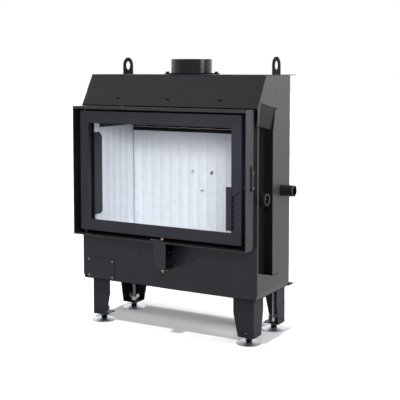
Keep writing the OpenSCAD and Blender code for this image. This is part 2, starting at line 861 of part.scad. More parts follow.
// Brass spacer on the lower pin, under the door
module hinge_bush() in_frame() color("goldenrod")
    translate([hinge_x, hinge_y, surround_bottom + bottom_t + hinge_plate_t])
        difference() {
            bush_h = door_bottom - clear - surround_bottom - bottom_t - hinge_plate_t;
            cylinder(d = hinge_pin_d + 2 * bush_wall, h = bush_h);
            translate([0, 0, -over]) cylinder(d = hinge_pin_d + 2 * run_gap, h = bush_h + 2 * over);
        }

// Latch keeper on the right flange

keeper_t = 3;
keeper_h = 76;
keeper_rise = 22;
keeper_z = grip_top + keeper_rise;
lip_inset = 8; // the lip is this much shorter than the plate at each end
lip_front = slot_front + slot_w - keeper_t;
lip_gap = 1.5;

// Plate outside the flange whose lip reaches in through the slot
module latch_keeper() in_frame() color("gray") {
    block([surround_half, surround_half + keeper_t], [lip_front, seal_front],
          [keeper_z - keeper_h / 2, keeper_z + keeper_h / 2]);
    block([latch_x + nose_reach + lip_gap, surround_half], [lip_front, lip_front + keeper_t - clear],
          [keeper_z - keeper_h / 2 + lip_inset, keeper_z + keeper_h / 2 - lip_inset]);
}

keeper_screw_d = 7;
keeper_screw_step = 27;
keeper_screw_inset = 7;

module keeper_screws() in_frame() color("silver")
    for (side = [-1, 1])
        rod_x([surround_half + keeper_t, seal_front - keeper_screw_inset,
               keeper_z + side * keeper_screw_step],
              keeper_screw_d, screw_head_h);

// Access cover

module access_cover() in_frame() color("dimgray")
    block([cover_left, cover_right], [-cover_t, 0], [cover_bottom, cover_top]);

module cover_screws() in_frame() color("silver")
    for (x = [cover_left + cover_screw_inset, cover_right - cover_screw_inset],
         z = [cover_bottom + cover_screw_inset, cover_top - cover_screw_inset])
        front_screw([x, -cover_t, z], screw_head_d, screw_head_h);

// Air control

guard_post = 15;

// Folded guard under the surround, open towards the right, that carries the spindle
module control_guard() in_frame() color("dimgray")
    difference() {
        union() {
            block([guard_left, guard_right], [front_y, front_y + guard_t], [guard_bottom, surround_bottom]);
            block([guard_left, guard_left + guard_t], [front_y, 0], [guard_bottom, surround_bottom]);
            block([guard_right - guard_t, guard_right], [-guard_post, 0], [guard_bottom, surround_bottom]);
            block([guard_left, guard_right], [front_y, 0], [guard_bottom, guard_bottom + guard_t]);
        }
        rod_z([control_x, axis_y, guard_bottom - over], spindle_d + 2 * run_gap, guard_t + 2 * over);
    }

guard_screw_d = 7;

module guard_screws() in_frame() color("silver") {
    for (z = [guard_bottom + guard_screw_d, surround_bottom - 2 * guard_screw_d])
        rod_x([guard_right, -guard_post / 2, z], guard_screw_d, screw_head_h);
    rod_z([guard_right - guard_screw_d, axis_y, guard_bottom - 2 * screw_head_h], guard_screw_d,
          2 * screw_head_h);
}

cone_h = 14;
cone_d = 22;
cone_tip = 5;
knob_d = 15;
knob_h = 8;
knob_top = 5;

// Upright spindle with the crank that moves the air slide
module control_spindle() in_frame() color("gray") {
    rod_z([control_x, axis_y, guard_bottom - clear], spindle_d, lever_z - guard_bottom + clear);
    translate([control_x, axis_y, crank_z]) rotate([0, 0, -crank_swing]) {
        linear_extrude(crank_t) {
            translate([0, -spindle_d / 2]) square([crank_r, spindle_d]);
            translate([crank_r, 0]) circle(d = spindle_d);
            circle(d = 2 * spindle_d);
        }
        translate([crank_r, 0, 0]) cylinder(d = crank_pin_d, h = crank_t + slide_t + 2 * over);
    }
}

// Flat lever in the gap under the door
module control_lever() in_frame() color("silver")
    translate([control_x, axis_y, lever_z]) linear_extrude(lever_t) {
        translate([-lever_len, -spindle_d / 2]) square([lever_len, spindle_d]);
        translate([-lever_len, 0]) circle(d = spindle_d);
        circle(d = knob_d);
    }

// Brass knob above the lever and brass cone under the guard
module control_knobs() in_frame() color("goldenrod") {
    translate([control_x, axis_y, lever_z + lever_t])
        rotate_extrude()
            polygon([[0, 0], [knob_d / 2 - over, 0], [knob_d / 2, over], [knob_d / 2, knob_h / 2],
                     [knob_top, knob_h], [0, knob_h]]);
    translate([control_x, axis_y, guard_bottom - clear - cone_h])
        cylinder(d1 = cone_tip, d2 = cone_d, h = cone_h);
}

slide_half = 90;
slide_margin = 18;
bar_front = 8; // slide bar left in front of the crank's pin
pin_play = 3; // room that the pin needs across the slide as it swings
slide_rear = grate_front + (grate_slots - 1) * grate_pitch + grate_slot_w + slide_margin;

// Sliding plate under the firebox floor, with the bar that the crank's pin drives
module air_slide() in_frame() color("silver")
    difference() {
        union() {
            block([bar_x - bar_w / 2, bar_x + bar_w / 2], [rest_y - bar_front, grate_front],
                  [slide_z, slide_z + slide_t]);
            block([control_x - slide_half, control_x + slide_half],
                  [grate_front - grate_slot_w - slide_margin, slide_rear], [slide_z, slide_z + slide_t]);
        }
        grate(slide_z, slide_t, slide_travel);
        block([bar_x - crank_pin_d / 2 - pin_play, bar_x + crank_pin_d / 2 + over],
              [rest_y - crank_pin_d / 2 - clear, rest_y + crank_pin_d / 2 + clear],
              [slide_z - over, slide_z + slide_t + over]);
    }

box_margin = 10;
box_half = slide_half + box_margin;
box_rear = slide_rear + slide_travel + box_margin;
box_depth = 40;
box_floor = firebox_floor - box_depth;
box_port_d = 24;
rail_w = 16;

// Tray under the firebox that feeds the grate and guides the slide
module air_box() in_frame() color("gray")
    difference() {
        block([control_x - box_half, control_x + box_half], [sill_y, box_rear], [box_floor, firebox_floor]);
        block([control_x - box_half + sheet, control_x + box_half - sheet],
              [sill_y + sheet, box_rear - sheet], [box_floor + sheet, slide_z - clear - sheet]);
        block([control_x - box_half + rail_w, control_x + box_half - rail_w],
              [sill_y + sheet, box_rear - sheet], [slide_z - clear - sheet - over, firebox_floor + over]);
        block([control_x - box_half + sheet, control_x + box_half - sheet],
              [sill_y + sheet, box_rear - sheet], [slide_z - clear, firebox_floor + over]);
        block([bar_x - bar_w / 2 - over, bar_x + bar_w / 2 + over], [sill_y - over, sill_y + sheet + over],
              [slide_z - clear, firebox_floor + over]);
        rod_y([control_x, box_rear - sheet - over, (box_floor + slide_z) / 2], box_port_d, sheet + 2 * over);
    }

// Air pipes

// A pipe along X from the firebox wall to x; up to the sheet that it passes it is turned
// down a little, so that a hose slides on as far as that sheet
module air_pipe(x, y, z, wall)
    difference() {
        union() {
            rod_x([fire_half, y, z], pipe_d - 2 * pipe_step, x - fire_half);
            rod_x([wall, y, z], pipe_d, x - wall);
        }
        rod_x([fire_half - over, y, z], pipe_d - 2 * pipe_wall, x - fire_half + 2 * over);
    }

port_bar = 3;
port_inset = 6;

module recess_air_pipe() in_frame() color("gray") {
    air_pipe(half_w, port_y, port_z, liner_x + clear);
    intersection() {
        rod_x([fire_half, port_y, port_z], pipe_d - pipe_wall, half_w - fire_half);
        block([half_w - port_bar - port_inset, half_w - port_inset], [port_y - pipe_d, port_y + pipe_d],
              [port_z - port_bar / 2, port_z + port_bar / 2]);
    }
}

module side_air_pipe() in_frame() color("gray") air_pipe(half_w + pipe_reach, pipe_y, pipe_z, half_w + clear);

// Legs and feet

// Plan of a folded corner: two walls with a rounded outer bend
module leg_plan() {
    difference() {
        leg_corner(leg_bend_r, 0);
        leg_corner(leg_bend_r - leg_t, leg_t);
    }
}

module leg_corner(r, inset)
    translate([inset, inset]) {
        translate([r, 0]) square([leg_w, leg_side]);
        translate([0, r]) square([leg_w, leg_side]);
        translate([r, r]) circle(r = r);
    }

leg_slot_w = 13;
leg_slot_h = 4;
leg_slot_x = 33;
leg_slot_z = 43;
leg_hole_d = 6;

// A leg with its outer corner at the origin, running to +X and +Y
module leg() {
    difference() {
        intersection() {
            translate([0, 0, leg_underside]) linear_extrude(casing_underside - leg_underside) leg_plan();
            along(-over, leg_side + 2 * over)
                polygon([[-over, leg_underside], [leg_foot_w, leg_underside], [leg_w, leg_taper_z],
                         [leg_w, casing_underside], [-over, casing_underside]]);
            across(-over, leg_w + 2 * over)
                polygon([[-over, leg_underside], [leg_foot_side, leg_underside], [leg_side, leg_taper_z],
                         [leg_side, casing_underside], [-over, casing_underside]]);
        }
        translate([leg_slot_x - leg_slot_w / 2, -over, leg_slot_z])
            cube([leg_slot_w, leg_t + 2 * over, leg_slot_h]);
        rod_x([-over, leg_slot_x + leg_slot_h, leg_slot_z], leg_hole_d, leg_t + 2 * over);
    }
    difference() {
        block([leg_t, leg_foot_w], [leg_t, leg_foot_side], [leg_underside, leg_underside + leg_t]);
        rod_z([foot_in_x, foot_in_y, leg_underside - over], rod_d + 2 * run_gap, leg_t + 2 * over);
    }
    block([leg_t, leg_w], [leg_t, leg_side], [casing_underside - leg_t, casing_underside]);
}

// Turns a piece drawn at a leg's corner to the corner named by its two sides
module at_corner(side, end)
    translate([side * leg_x, end < 0 ? leg_front : leg_rear, 0])
        mirror([side > 0 ? 1 : 0, 0, 0]) mirror([0, end > 0 ? 1 : 0, 0]) children();

module leg_front_left() in_frame() color("dimgray") at_corner(-1, -1) leg();
module leg_front_right() in_frame() color("dimgray") at_corner(1, -1) leg();
module leg_rear_left() in_frame() color("dimgray") at_corner(-1, 1) leg();
module leg_rear_right() in_frame() color("dimgray") at_corner(1, 1) leg();

wing_span = 24;
wing_h = 27;
wing_t = 5;
wing_root = 3; // how deep a wing sits in the nut
nut_draft = 4;
wing_turns = [0, 45, 0, 60];

// Wing nut that locks a rod on the leg's foot plate
module wing_nut() {
    difference() {
        union() {
            cylinder(d1 = nut_flat, d2 = nut_flat - nut_draft, h = nut_h);
            for (turn = [0, 180]) rotate([0, 0, turn])
                along(-wing_t / 2, wing_t) {
                    polygon([[nut_flat / 2 - wing_root, 0], [nut_flat / 2, 0], [wing_span, nut_h],
                             [wing_span, wing_h - wing_t], [wing_span - 2 * wing_t, wing_h - wing_t],
                             [nut_flat / 2 - wing_root, nut_h]]);
                    translate([wing_span - wing_t, wing_h - wing_t]) circle(r = wing_t);
                }
        }
        translate([0, 0, -over]) cylinder(d = rod_d + 2 * run_gap, h = wing_h + 2 * over);
    }
}

module wing_nuts() in_frame() color("silver")
    for (end = [-1, 1], side = [-1, 1])
        at_corner(side, end)
            translate([foot_in_x, foot_in_y, leg_underside + leg_t])
                rotate([0, 0, wing_turns[end + 1 + (side + 1) / 2]]) wing_nut();

disc_edge = 2.5;
base_nut_h = 12;

// Screw foot: a thin disc, a hexagon and the threaded rod
module foot() translate([foot_in_x, foot_in_y, 0]) {
    rotate_extrude()
        polygon([[0, 0], [disc_d / 2, 0], [disc_d / 2, disc_edge], [nut_flat / 2 + disc_t, disc_t],
                 [0, disc_t]]);
    hex_z([0, 0, disc_t], nut_flat, base_nut_h);
    rod_z([0, 0, disc_t + base_nut_h], rod_d, rod_top - disc_t - base_nut_h);
}

module foot_front_left() in_frame() color("silver") at_corner(-1, -1) foot();
module foot_front_right() in_frame() color("silver") at_corner(1, -1) foot();
module foot_rear_left() in_frame() color("silver") at_corner(-1, 1) foot();
module foot_rear_right() in_frame() color("silver") at_corner(1, 1) foot();

// Door

// A rectangular ring as deep as y, inset from the door's edge, with walls w wide
module door_ring(inset, w, y)
    difference() {
        block([inset - door_half, door_half - inset], y, [door_bottom + inset, door_top - inset]);
        block([inset + w - door_half, door_half - inset - w], [y[0] - over, y[1] + over],
              [door_bottom + inset + w, door_top - inset - w]);
    }

rabbet_gap = 6; // between the rabbet wall and the door's face
rabbet_front = face_y + door_skin + rabbet_gap;

// Folded door frame: face, edge, rope groove, rabbet for the glass, hinge bosses and
// the two cheeks that hold the latch pin
module door_frame() in_frame() color("dimgray")
    difference() {
        union() {
            difference() {
                block([-door_half, door_half], [face_y, face_y + door_skin], [door_bottom, door_top]);
                block([-win_half, win_half], [face_y - over, face_y + door_skin + over],
                      [win_bottom, win_top]);
            }
            door_ring(0, door_skin, [face_y, door_rear]);
            door_ring(0, glass_side, [groove_floor, groove_floor + door_skin]);
            door_ring(glass_side - door_skin, door_skin, [rabbet_front, door_rear]);
            for (z = [door_bottom, door_top - boss_len]) rod_z([hinge_x, hinge_y, z], boss_d, boss_len);
            for (z = [notch_bottom - cheek_t, notch_top])
                block([door_half - notch_w, door_half], [face_y, face_y + notch_depth], [z, z + cheek_t]);
        }
        for (z = [door_bottom - over, door_top - boss_len - over])
            rod_z([hinge_x, hinge_y, z], hinge_pin_d + 2 * run_gap, boss_len + 2 * over);
        block([door_half - notch_w, door_half + over], [face_y - over, face_y + notch_depth],
              [notch_bottom, notch_top]);
    }

module door_glass() in_frame() color("lightblue", 0.4)
    block([-win_half - glass_lap, win_half + glass_lap], [glass_y, glass_y + glass_t],
          [win_bottom - glass_lap, win_top + glass_lap]);

rope_bend_r = 14;

// Round sealing rope that runs round the door's back
module door_rope() in_frame() color("lightgray") {
    rope_bottom = door_bottom + door_half - rope_x;
    rope_up = door_top - door_half + rope_x;
    for (side = [-1, 1])
        rod_z([side * rope_x, rope_y, rope_bottom + rope_bend_r], rope_d,
              rope_up - rope_bottom - 2 * rope_bend_r);
    for (z = [rope_bottom, rope_up])
        rod_x([rope_bend_r - rope_x, rope_y, z], rope_d, 2 * (rope_x - rope_bend_r));
    for (corner = [[1, rope_up, 0], [-1, rope_up, -90], [-1, rope_bottom, 180], [1, rope_bottom, 90]])
        translate([corner[0] * (rope_x - rope_bend_r), rope_y,
                   corner[1] + (corner[1] > rope_bottom ? -rope_bend_r : rope_bend_r)])
            rotate([0, corner[2], 0]) rotate([90, 0, 0])
                rotate_extrude(angle = 90) translate([rope_bend_r, 0]) circle(d = rope_d);
}

clip_w = 20;
clip_foot = 20;
clip_reach = 12;
clip_t = 2;
door_mid_z = (door_bottom + door_top) / 2;
clip_high = (door_top - door_bottom) / 2 - glass_side;

// Clips that hold the glass, as [turn about the door's middle, distance, place along the edge]
clip_share = 0.28;
clip_places = [for (turn = [0, 180], side = [-1, 1]) [turn, wall_x,
                                                      side * clip_share * (door_top - door_bottom)],
               for (turn = [90, 270], side = [-1, 1]) [turn, clip_high, side * clip_share * door_w]];

module at_clips()
    for (place = clip_places)
        translate([0, 0, door_mid_z]) rotate([0, place[0], 0]) translate([place[1], 0, place[2]]) children();

module glass_clips() in_frame() color("gray")
    at_clips() {
        block([-clip_reach, 0], [glass_y + glass_t + clear, glass_y + glass_t + clear + clip_t],
              [-clip_w / 2, clip_w / 2]);
        block([-clip_t, 0], [glass_y + glass_t + clear, glass_y + glass_t + clear + clip_foot],
              [-clip_w / 2, clip_w / 2]);
    }

clip_screw_d = 7;

module clip_screws() in_frame() color("silver")
    at_clips() rod_x([-2 * clip_t, glass_y + glass_t + clip_foot - clip_screw_d, 0], clip_screw_d, clip_t);

// Door handle

arm_y = face_y - arm_gap - arm_t;
arm_over = 4; // the arm runs this far past the door's edge
arm_end = door_half + arm_over;
arm_rise = 20; // how far the arm rises from the grip to its end
arm_steps = 8;
hub_block = 4;

// One long edge of the arm, in an even S from the grip up to the latch
function arm_edge(steps, z) = [for (i = steps)
    [grip_right - grip_t + (arm_end - grip_right + grip_t) * i / arm_steps,
     z + arm_rise * (1 - cos(180 * i / arm_steps)) / 2]];

// Grip, latch arm, hub and nose in one piece, turning on the latch pin
module door_handle() in_frame() color("dimgray")
    difference() {
        union() {
            block([grip_left, grip_right], [face_y - grip_lift, face_y - grip_lift + grip_t],
                  [grip_bottom, grip_top]);
            block([grip_right - grip_t, grip_right], [face_y - grip_lift, face_y - grip_gap],
                  [grip_bottom, grip_top]);
            along(arm_y, arm_t)
                polygon(concat(arm_edge([0 : arm_steps], grip_top),
                               arm_edge([arm_steps : -1 : 0], grip_top - arm_h)));
            block([latch_x - hub_block, latch_x + hub_block], [arm_y + arm_t, latch_y],
                  [notch_bottom + nose_inset, notch_top - nose_inset]);
            rod_z([latch_x, latch_y, notch_bottom + hub_play], hub_d,
                  notch_top - notch_bottom - 2 * hub_play);
            block([latch_x, latch_x + neck_x + neck_w], [latch_y - nose_t / 2, latch_y + nose_t / 2],
                  [notch_bottom + nose_inset, notch_top - nose_inset]);
            block([latch_x + neck_x, latch_x + neck_x + neck_w], [latch_y, latch_y + nose_back],
                  [notch_bottom + nose_inset, notch_top - nose_inset]);
            block([latch_x + neck_x, latch_x + nose_reach],
                  [latch_y + nose_back - nose_t, latch_y + nose_back],
                  [notch_bottom + nose_inset, notch_top - nose_inset]);
        }
        rod_z([latch_x, latch_y, notch_bottom], latch_pin_d + 2 * run_gap, notch_top - notch_bottom);
        for (i = [0 : grip_holes - 1])
            rod_x([grip_right - grip_t - over, face_y - (grip_lift + grip_gap - grip_t) / 2,
                   grip_bottom + (i + 0.5) * grip_len / grip_holes], grip_hole_d, grip_t + 2 * over);
    }

module latch_pin() in_frame() color("silver")
    rod_z([latch_x, latch_y, notch_bottom], latch_pin_d, notch_top - notch_bottom);

lower_front_panel();
side_panel_left();
side_panel_right();
recess_liner();
recess_flap();
front_hood();
top_plate();
bottom_plate();
rear_shield();
firebox_shell();
firebox_stands();
seal_plate();
door_surround();
surround_bolts();
smoke_hood();
flue_spigot();
flue_flange();
flue_bolts();
lifting_eye_left();
lifting_eye_right();
lining_back();
lining_left();
lining_right();
hearth_slab();
lining_rail();
lining_bracket_left();
lining_bracket_right();
baffle_lower();
baffle_upper();
hinge_plates();
hinge_bush();
latch_keeper();
keeper_screws();
access_cover();
cover_screws();
control_guard();
guard_screws();
air_box();
recess_air_pipe();
side_air_pipe();
leg_front_left();
leg_front_right();
leg_rear_left();
leg_rear_right();
wing_nuts();
door_frame();
door_glass();
door_rope();
glass_clips();
clip_screws();
door_handle();
latch_pin();
control_spindle();
control_lever();
control_knobs();
air_slide();
foot_front_left();
foot_front_right();
foot_rear_left();
foot_rear_right();
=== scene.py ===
"""Fireplace insert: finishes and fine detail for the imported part."""

import math

import bmesh
import bpy
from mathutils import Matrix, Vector


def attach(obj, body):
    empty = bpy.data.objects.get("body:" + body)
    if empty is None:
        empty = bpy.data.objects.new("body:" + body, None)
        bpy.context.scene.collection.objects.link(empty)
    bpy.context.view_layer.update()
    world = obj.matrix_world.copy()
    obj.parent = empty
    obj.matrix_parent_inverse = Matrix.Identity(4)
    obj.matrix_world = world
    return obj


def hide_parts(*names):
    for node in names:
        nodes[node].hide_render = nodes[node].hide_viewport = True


MM = 0.001

# Lengths are in millimetres. The drawing's own zero lies 26 mm to the left of and 123.5 mm in
# front of the frame's, so SHIFT_X and SHIFT_Y turn a place in the drawing into one in the frame
SHIFT_X, SHIFT_Y = -26, -123.5

# Places in the drawing that a finish follows
HOOD_MARK_STEP, HOOD_MARK_Z = 223.3, 888
GRIP_WALL_X, GRIP_WALL_Y = 315, -63
GRIP_HOLE_Z, GRIP_HOLE_STEP = 442.7, 155 / 8
BACK_SLAB_X, SIDE_SLAB_Y = -330, 275.2
FLUTE_PITCH = 44

# The door's sealing rope, on a rectangle round the window
ROPE_HALF_X, ROPE_Y = 334, -22.3
ROPE_LOW, ROPE_HIGH, ROPE_BEND = 397, 825, 14
ROPE_STEP, ROPE_SIDES, ROPE_KNOT = 2.2, 24, 13
ROPE_CORE, ROPE_RELIEF = 5.2, 0.4

# The cord on the lining rail
CORD_HALF_X, CORD_Y, CORD_Z = 344, 276.7, 763.2
CORD_RINGS, CORD_SIDES = 231, 8
CORD_RADIUS, CORD_RELIEF = 1.5, 0.12

# The M12 rods of the feet and their thread
FOOT_X, FOOT_FRONT_Y, FOOT_REAR_Y = 324.5, 54, 266
THREAD_LOW, THREAD_HIGH = 20, 161
THREAD_RADIUS, THREAD_RIDGE, THREAD_PITCH = 5.95, 0.45, 1.75

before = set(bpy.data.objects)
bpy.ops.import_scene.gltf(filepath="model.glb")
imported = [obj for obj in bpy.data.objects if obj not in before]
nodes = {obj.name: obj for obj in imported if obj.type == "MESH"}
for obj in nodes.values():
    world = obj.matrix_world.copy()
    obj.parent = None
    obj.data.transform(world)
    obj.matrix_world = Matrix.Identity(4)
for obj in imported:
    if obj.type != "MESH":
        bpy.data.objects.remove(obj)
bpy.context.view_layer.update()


# ---------------------------------------------------------------- shader nodes


def colour(code):
    """A written sRGB colour such as 2B2A2D as linear numbers."""
    parts = [int(code[i : i + 2], 16) / 255 for i in (0, 2, 4)]
    return [p / 12.92 if p <= 0.04045 else ((p + 0.055) / 1.055) ** 2.4 for p in parts] + [1.0]


def add(tree, kind, settings=None, **links):
    """Adds a node. settings are its own values, links go to the inputs of the same name."""
    node = tree.nodes.new(kind)
    for name, value in (settings or {}).items():
        setattr(node, name, value)
    for name, value in links.items():
        # _6 stands for the seventh input, and Base_Color for the one that is called Base Color
        socket = node.inputs[int(name[1:])] if name[0] == "_" else node.inputs[name.replace("_", " ")]
        if isinstance(value, bpy.types.NodeSocket):
            tree.links.new(value, socket)
        else:
            socket.default_value = value
    return node


def maths(tree, operation, first, second=0.0):
    """The result of one sum."""
    return add(tree, "ShaderNodeMath", {"operation": operation}, _0=first, _1=second).outputs[0]


def mixed(tree, share, first, second, blend_type="MIX"):
    """One colour fading to another. Each is a written colour or another node's output."""
    first, second = (colour(c) if isinstance(c, str) else c for c in (first, second))
    settings = {"data_type": "RGBA", "blend_type": blend_type}
    return add(tree, "ShaderNodeMix", settings, _0=share, _6=first, _7=second).outputs[2]


def speckle(tree, place, size_mm, detail=2.0, stretch=(1, 1, 1)):
    """Noise whose grains are about size_mm wide."""
    scaled = add(tree, "ShaderNodeMapping", None, Vector=place, Scale=stretch).outputs[0]
    noise = add(
        tree, "ShaderNodeTexNoise", None, Vector=scaled, Scale=1000 / size_mm, Detail=detail
    )
    return noise.outputs["Fac"]


def span(tree, value, low, high, start=0.35, end=0.65):
    """Turns a pattern that runs from start to end into a range of numbers."""
    return add(
        tree, "ShaderNodeMapRange", None,
        Value=value, From_Min=start, From_Max=end, To_Min=low, To_Max=high,
    ).outputs[0]


def distance(tree, along):
    """How far a point lies along an axis of the frame, in metres."""
    place = add(tree, "ShaderNodeTexCoord").outputs["Object"]
    return add(tree, "ShaderNodeSeparateXYZ", None, Vector=place).outputs[along]


def past(tree, along, start_mm):
    """1 where the piece lies further than start_mm along an axis, else 0."""
    return maths(tree, "GREATER_THAN", distance(tree, along), start_mm * MM)


def from_nearest(tree, along, first_mm, pitch_mm):
    """How far a point lies from the nearest of a row of places, in metres."""
    away = maths(tree, "SUBTRACT", distance(tree, along), first_mm * MM)
    return maths(tree, "PINGPONG", away, pitch_mm / 2 * MM)


def dented(tree, skin, height, depth_mm, edge_mm=0.0):
    """Feeds a bump to the shader, over edges rounded to edge_mm."""
    bump = add(tree, "ShaderNodeBump", None, Height=height, Strength=1.0, Distance=depth_mm * MM)
    if edge_mm:
        soft = add(tree, "ShaderNodeBevel", {"samples": 4}, Radius=edge_mm * MM)
        tree.links.new(soft.outputs[0], bump.inputs["Normal"])
    tree.links.new(bump.outputs[0], skin.inputs["Normal"])


# ---------------------------------------------------------------- finishes


def finish(name, base, **shader):
    """A new material with a Principled shader: (material, tree, shader node, place)."""
    mat = bpy.data.materials.new(name)
    mat.use_nodes = True
    tree = mat.node_tree
    tree.nodes.clear()
    skin = add(tree, "ShaderNodeBsdfPrincipled", None, Base_Color=colour(base), **shader)
    add(tree, "ShaderNodeOutputMaterial", None, Surface=skin.outputs[0])
    place = add(tree, "ShaderNodeTexCoord").outputs["Object"]
    return mat, tree, skin, place


def sprayed_paint(name, base, lighter, rough, ior=1.5):
    # Heat-resistant silicone paint, sprayed on sheet steel: nearly black, dead even, with
    # a fine dry grain that spreads the light of the room over each flat face
    mat, tree, skin, place = finish(name, base, IOR=ior, Roughness=rough)
    drift = speckle(tree, place, size_mm=160, detail=3)
    grain = speckle(tree, place, size_mm=1.6, detail=2)
    tone = mixed(tree, span(tree, drift, 0, 1), base, lighter)
    tree.links.new(tone, skin.inputs["Base Color"])
    tree.links.new(span(tree, grain, rough - 0.05, rough + 0.07), skin.inputs["Roughness"])
    dented(tree, skin, grain, depth_mm=0.03, edge_mm=0.9)
    return mat


def rolled_steel(name, base, lighter, rough, stretch=(1, 1, 12)):
    # Bare mild steel: grey, with the faint streaks of rolling or brushing along it
    mat, tree, skin, place = finish(name, base, Metallic=1.0, Roughness=rough)
    streak = speckle(tree, place, size_mm=3.2, detail=3, stretch=stretch)
    cloud = speckle(tree, place, size_mm=45, detail=3)
    tone = mixed(tree, span(tree, cloud, 0, 1), base, lighter)
    tree.links.new(tone, skin.inputs["Base Color"])
    tree.links.new(span(tree, streak, rough - 0.08, rough + 0.12), skin.inputs["Roughness"])
    dented(tree, skin, streak, depth_mm=0.02, edge_mm=0.4)
    return mat


def plated(name, base, lighter, rough):
    # Zinc plate or turned brass: bright and smooth, with a slight cloudiness
    mat, tree, skin, place = finish(name, base, Metallic=1.0, Roughness=rough)
    cloud = speckle(tree, place, size_mm=9, detail=2)
    tone = mixed(tree, span(tree, cloud, 0, 1), base, lighter)
    tree.links.new(tone, skin.inputs["Base Color"])
    tree.links.new(span(tree, cloud, rough, rough + 0.1), skin.inputs["Roughness"])
    dented(tree, skin, cloud, depth_mm=0.01, edge_mm=0.4)
    return mat


def rim_highlight(mat, along, end_mm, base):
    # A tube's end is drawn in a lighter grey than the paint: a painted highlight on its rim
    tree = mat.node_tree
    coat = tree.nodes["Principled BSDF"].inputs["Base Color"]
    painted = coat.links[0].from_socket
    tree.links.new(mixed(tree, past(tree, along, end_mm), painted, base), coat)
    return mat


def holes_black(mat, row, bands):
    # Nothing shines back out of a small hole, so it reads as a black spot. At the picture's
    # size a 4 mm hole would fade away, so the paint at its rim is drawn black with it.
    # row is (axis, first hole, pitch, half a spot's size), a band is (axis, middle, half width)
    tree = mat.node_tree
    out = tree.nodes["Material Output"].inputs["Surface"]
    painted = out.links[0].from_socket
    along, first_mm, pitch_mm, half_mm = row
    inside = maths(tree, "LESS_THAN", from_nearest(tree, along, first_mm, pitch_mm), half_mm * MM)
    for along, middle_mm, half_mm in bands:
        away = maths(tree, "SUBTRACT", distance(tree, along), middle_mm * MM)
        band = maths(tree, "LESS_THAN", maths(tree, "ABSOLUTE", away), half_mm * MM)
        inside = maths(tree, "MULTIPLY", inside, band)
    dead = add(
        tree, "ShaderNodeBsdfPrincipled", None,
        Base_Color=colour("060606"), IOR=1.05, Roughness=1.0,
    )
    both = add(tree, "ShaderNodeMixShader", None, _0=inside, _1=painted, _2=dead.outputs[0])
    tree.links.new(both.outputs[0], out)
    return mat


def screw_foot():
    # A screw foot has three finishes: a nickel-plated disc, a near-black hexagon and a
    # zinc-plated rod whose thread is drawn as fine bright and dark bands: painted highlight and shade
    plate, hexagon, hexagon_z, rod_z = "C3C8D1", "1B1B1D", 6.1, 18.1
    mat, tree, skin, _ = finish("Plated_screw_foot", plate, Metallic=1.0, Roughness=0.12)
    turn = maths(tree, "MULTIPLY", distance(tree, "Z"), 2 * math.pi / (THREAD_PITCH * MM))
    thread = maths(tree, "SINE", turn)
    nut, rod = past(tree, "Z", hexagon_z), past(tree, "Z", rod_z)
    bands = mixed(tree, span(tree, thread, 0, 1, -1, 1), "C4C6CA", "F2F3F5")
    tone = mixed(tree, rod, mixed(tree, nut, plate, hexagon), bands)
    tree.links.new(tone, skin.inputs["Base Color"])
    tree.links.new(span(tree, nut, 0.42, 0.3, 0, 1), skin.inputs["Roughness"])
    dented(tree, skin, maths(tree, "MULTIPLY", thread, rod), depth_mm=0.4, edge_mm=0.4)
    return mat


def lining_board(name, along=None, start_mm=0, base="DADFE6", lighter="E2E6EC"):
    # Pressed vermiculite board: pale, dry, with tiny flakes that leave pits and glints. The creases
    # between the flutes, which follow each other along the slab, are drawn darker: painted shade
    mat, tree, skin, place = finish(name, base, Roughness=0.9)
    flake = add(tree, "ShaderNodeTexVoronoi", None, Vector=place, Scale=1000 / 4)
    pits = flake.outputs["Distance"]
    cloud = speckle(tree, place, size_mm=25, detail=4)
    shown = mixed(tree, span(tree, cloud, 0, 1), base, lighter)
    flecks = span(tree, pits, 0.16, 0.0, 0.05, 0.35)
    shown = mixed(tree, flecks, shown, "A9AFB4", "MULTIPLY")
    if along:
        # Painted shade: the creases where the flutes meet are drawn darker
        fold = from_nearest(tree, along, start_mm, FLUTE_PITCH)
        crease_shade = span(tree, fold, 1, 0, 0.2 * MM, 1.8 * MM)
        shown = mixed(tree, crease_shade, shown, "CBD0D8")
    if along == "Y":
        # The side slabs are drawn dark grey along their top edge, up to the corner with the back slab
        strip_z, strip_y = 772, -90
        top_band = maths(tree, "MULTIPLY", past(tree, "Z", strip_z), past(tree, "Y", strip_y))
        shown = mixed(tree, top_band, shown, "3A3B3E")
    tree.links.new(shown, skin.inputs["Base Color"])
    dented(tree, skin, pits, depth_mm=0.12)
    return mat


def ceramic_glass():
    # Clear ceramic glass: almost invisible from the front, with a cool tint and a gloss
    mat, tree, skin, place = finish("Ceramic_glass", "0C0E11", Roughness=0.03, Alpha=0.05)
    wave = speckle(tree, place, size_mm=120, detail=1)
    tree.links.new(span(tree, wave, 0.02, 0.06), skin.inputs["Roughness"])
    return mat


def braided_rope(name, dark, light):
    # Knitted glass-fibre rope: dull, matt, with strands that lie 9 mm apart
    mat, tree, skin, place = finish(name, dark, Roughness=0.95)
    strand = add(
        tree, "ShaderNodeTexWave", {"bands_direction": "DIAGONAL"},
        Vector=place, Scale=1000 / 9, Distortion=1.5,
    ).outputs["Fac"]
    tree.links.new(mixed(tree, strand, dark, light), skin.inputs["Base Color"])
    dented(tree, skin, strand, depth_mm=0.5)
    return mat


